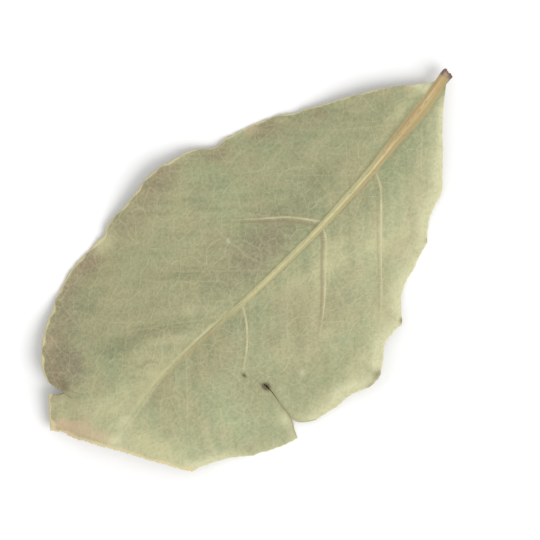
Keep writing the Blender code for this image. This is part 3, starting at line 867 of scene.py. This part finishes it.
# Tints laid over each other: (what decides it, none of it at, most of it at, how much, colour)
skin_colour = colour(LEAF_GREEN)
for decides, none_at, most_at, most, hex_value in [
    (pattern["blotch"], 0.3, 0.7, 1.0, LEAF_DRAB),
    (pattern["streak"], 0.45, 0.75, 0.4, "#b0ab86"),
    (pattern["streak"], 0.5, 0.25, 0.35, "#717a58"),
    (at["painted_shade_and_dull"], 0.0, 1.0, 0.5, "#787b5b"),
    (at["green"], 0.0, 1.0, 0.65, "#84906a"),
    (at["grey"], 0.0, 1.0, 0.82, "#7c705c"),
    (at["tanned_and_crack_shade"], 0.0, 1.0, 0.7, "#7f6a55"),
    (at["pale"], 0.0, 1.0, 0.9, "#b9b68c"),
    (at["painted_glow_and_straw"], 0.0, 1.0, 1.0, "#cccaa3"),
    (at["underside"], 0.0, 1.0, 0.5, "#b3ad8c"),
    (pattern["mottle"], 0.45, 0.75, 0.2, "#aaa57c"),
    (pattern["mottle"], 0.5, 0.3, 0.2, "#727b58"),
    (pattern["grain"], 0.4, 0.75, 0.2, "#c0bb92"),
    (pattern["grain"], 0.55, 0.25, 0.2, "#6b6d4e"),
    (pattern["areole"], 0.0, 1.0, 0.12, "#c2be96"),
    (pattern["ladder"], 0.0, 1.0, 0.16, "#c4c09a"),
    (at["speck"], 0.0, 1.0, 1.0, "#bbbb98"),
    # Brown torn edges and painted shade along the tear and the crack
    (at["torn"], 0.0, 1.0, 0.4, "#857a55"),
    (off_seam, 0.3, 0.04, at["seam"], "#8c7a5d"),
    (off_thread, 0.2, 0.04, at["vein"], "#bfb58f"),
    (at["painted_shade_beside_rib"], 0.0, 1.0, 0.4, "#7c7c55"),
    (at["rib_band"], 0.0, 1.0, 0.3, "#b5af84"),
    (at["rib_line"], 0.0, 1.0, 0.6, "#7f7752"),
    (at["rim"], 1.4, 0.7, 0.85, "#c7be93"),
    (at["snapped"], 1.5, 0.5, 0.85, "#cfbf94"),
    (at["rose"], 0.0, 1.0, 0.55, "#cdae90"),
    (at["rib"], 0.0, 1.0, 1.0, "#c3ab7c"),
    (at["rib_pale"], 0.0, 1.0, 1.0, "#cac899"),
    (at["painted_rib_shade"], 0.0, 1.0, 0.8, "#9a8858"),
    (at["furrow"], 0.0, 1.0, 0.25, "#8a764d"),
    # Nearly black spots; by the crack they are painted shade
    (at["dark"], 0.0, 1.0, 1.0, "#53492c"),
    (at["cut_end"], 0.0, 1.0, 0.95, "#75635a"),
    (at["pith"], 0.0, 1.0, 0.65, "#c2a387"),
]:
    share = add(tree, "ShaderNodeMapRange",
        {"Value": decides, "From Min": none_at, "From Max": most_at, "To Max": most},
        interpolation_type="SMOOTHSTEP")
    tinted = add(tree, "ShaderNodeMix",
        {0: share.outputs["Result"], MIX_A: skin_colour, MIX_B: colour(hex_value)}, data_type="RGBA")
    skin_colour = tinted.outputs[MIX_OUT]
tree.links.new(skin_colour, shader.inputs["Base Color"])

# Matt, but for a faint gloss where the cuticle is whole
gloss = add(tree, "ShaderNodeMapRange", {"Value": pattern["mottle"], "To Min": GLOSSIEST, "To Max": DULLEST})
tree.links.new(gloss.outputs["Result"], shader.inputs["Roughness"])
shader.inputs["IOR"].default_value = LEAF_IOR

# Relief too fine for the mesh: (pattern, its share of the relief's height)
RELIEF = 0.05
relief = 0.0
for name, share in [("grain", 0.5), ("areole", 0.35), ("ladder", 0.4)]:
    summed = add(tree, "ShaderNodeMath", {0: pattern[name], 1: share, 2: relief}, operation="MULTIPLY_ADD")
    relief = summed.outputs[0]
bump = add(tree, "ShaderNodeBump", {"Height": relief, "Strength": 1.0, "Distance": RELIEF * MM})
tree.links.new(bump.outputs["Normal"], shader.inputs["Normal"])
skin.materials.append(material)

# Table
# A plain matt white board, larger than any view of the leaf. The leaf only lies on it, and it is no
# part of the object.

BOARD_REACH = 3
BOARD_WHITE = (0.9, 0.9, 0.9, 1)
BOARD_ROUGHNESS = 0.9

corners = [(BOARD_REACH * x, BOARD_REACH * y, 0) for x, y in ((-1, -1), (1, -1), (1, 1), (-1, 1))]
floor_mesh = bpy.data.meshes.new("table")
floor_mesh.from_pydata(corners, [], [(0, 1, 2, 3)])
floor = bpy.data.objects.new("table", floor_mesh)
bpy.context.scene.collection.objects.link(floor)
board = bpy.data.materials.new("white_board")
board.use_nodes = True
board_shader = board.node_tree.nodes["Principled BSDF"]
board_shader.inputs["Base Color"].default_value = BOARD_WHITE
board_shader.inputs["Roughness"].default_value = BOARD_ROUGHNESS
floor_mesh.materials.append(board)

# Light
# A white room, lighter low down than overhead, and one wide soft light high on the right of the
# picture, so that the folds and veins of the leaf are faintly lit from that side.

# How high a direction points, and how bright the room is there
LOW, LOW_LIGHT = 0.05, 1.0
HIGH, HIGH_LIGHT = 0.4, 0.78
# The soft light shines from this place towards the leaf
WINDOW_PLACE = (-0.05, 0.45, 0.45)
WINDOW_ANGLE = 40
WINDOW_STRENGTH = 1.78

world = bpy.data.worlds.new("white_room")
bpy.context.scene.world = world
world.use_nodes = True
tree = world.node_tree
direction = add(tree, "ShaderNodeTexCoord", {}).outputs["Generated"]
upward = add(tree, "ShaderNodeSeparateXYZ", {"Vector": direction}).outputs["Z"]
brightness = add(tree, "ShaderNodeMapRange", {
    "Value": upward, "From Min": LOW, "From Max": HIGH, "To Min": LOW_LIGHT, "To Max": HIGH_LIGHT,
})
tree.links.new(brightness.outputs["Result"], tree.nodes["Background"].inputs["Strength"])
tree.nodes["Background"].inputs["Color"].default_value = (1, 1, 1, 1)

window_data = bpy.data.lights.new("soft_window", "SUN")
window_data.angle = math.radians(WINDOW_ANGLE)
window_data.energy = WINDOW_STRENGTH
window = bpy.data.objects.new("soft_window", window_data)
bpy.context.scene.collection.objects.link(window)
window.location = WINDOW_PLACE
window.rotation_mode = "QUATERNION"
window.rotation_quaternion = window.location.to_track_quat("Z", "Y")

# Camera
# It looks straight down on the middle of the leaf through a long lens, turned so that the stalk points
# up and to the right, as in the photograph.

PICTURE_RIGHT = Vector((-0.6696, 0.7426, 0.0))
PICTURE_UP = Vector((-0.7426, -0.6696, 0.0))
UPWARD = Vector((0, 0, 1))
VIEW_WIDTH = 0.067
LENS = 180.0

camera_data = bpy.data.cameras.new("camera")
camera_data.lens = LENS
camera = bpy.data.objects.new("camera", camera_data)
bpy.context.scene.collection.objects.link(camera)
bpy.context.scene.camera = camera
distance = VIEW_WIDTH * LENS / camera_data.sensor_width
turned = Matrix((PICTURE_RIGHT, PICTURE_UP, UPWARD)).transposed()
camera.matrix_world = Matrix.LocRotScale(distance * UPWARD, turned.to_quaternion(), None)
bpy.context.scene.view_settings.view_transform = "Standard"
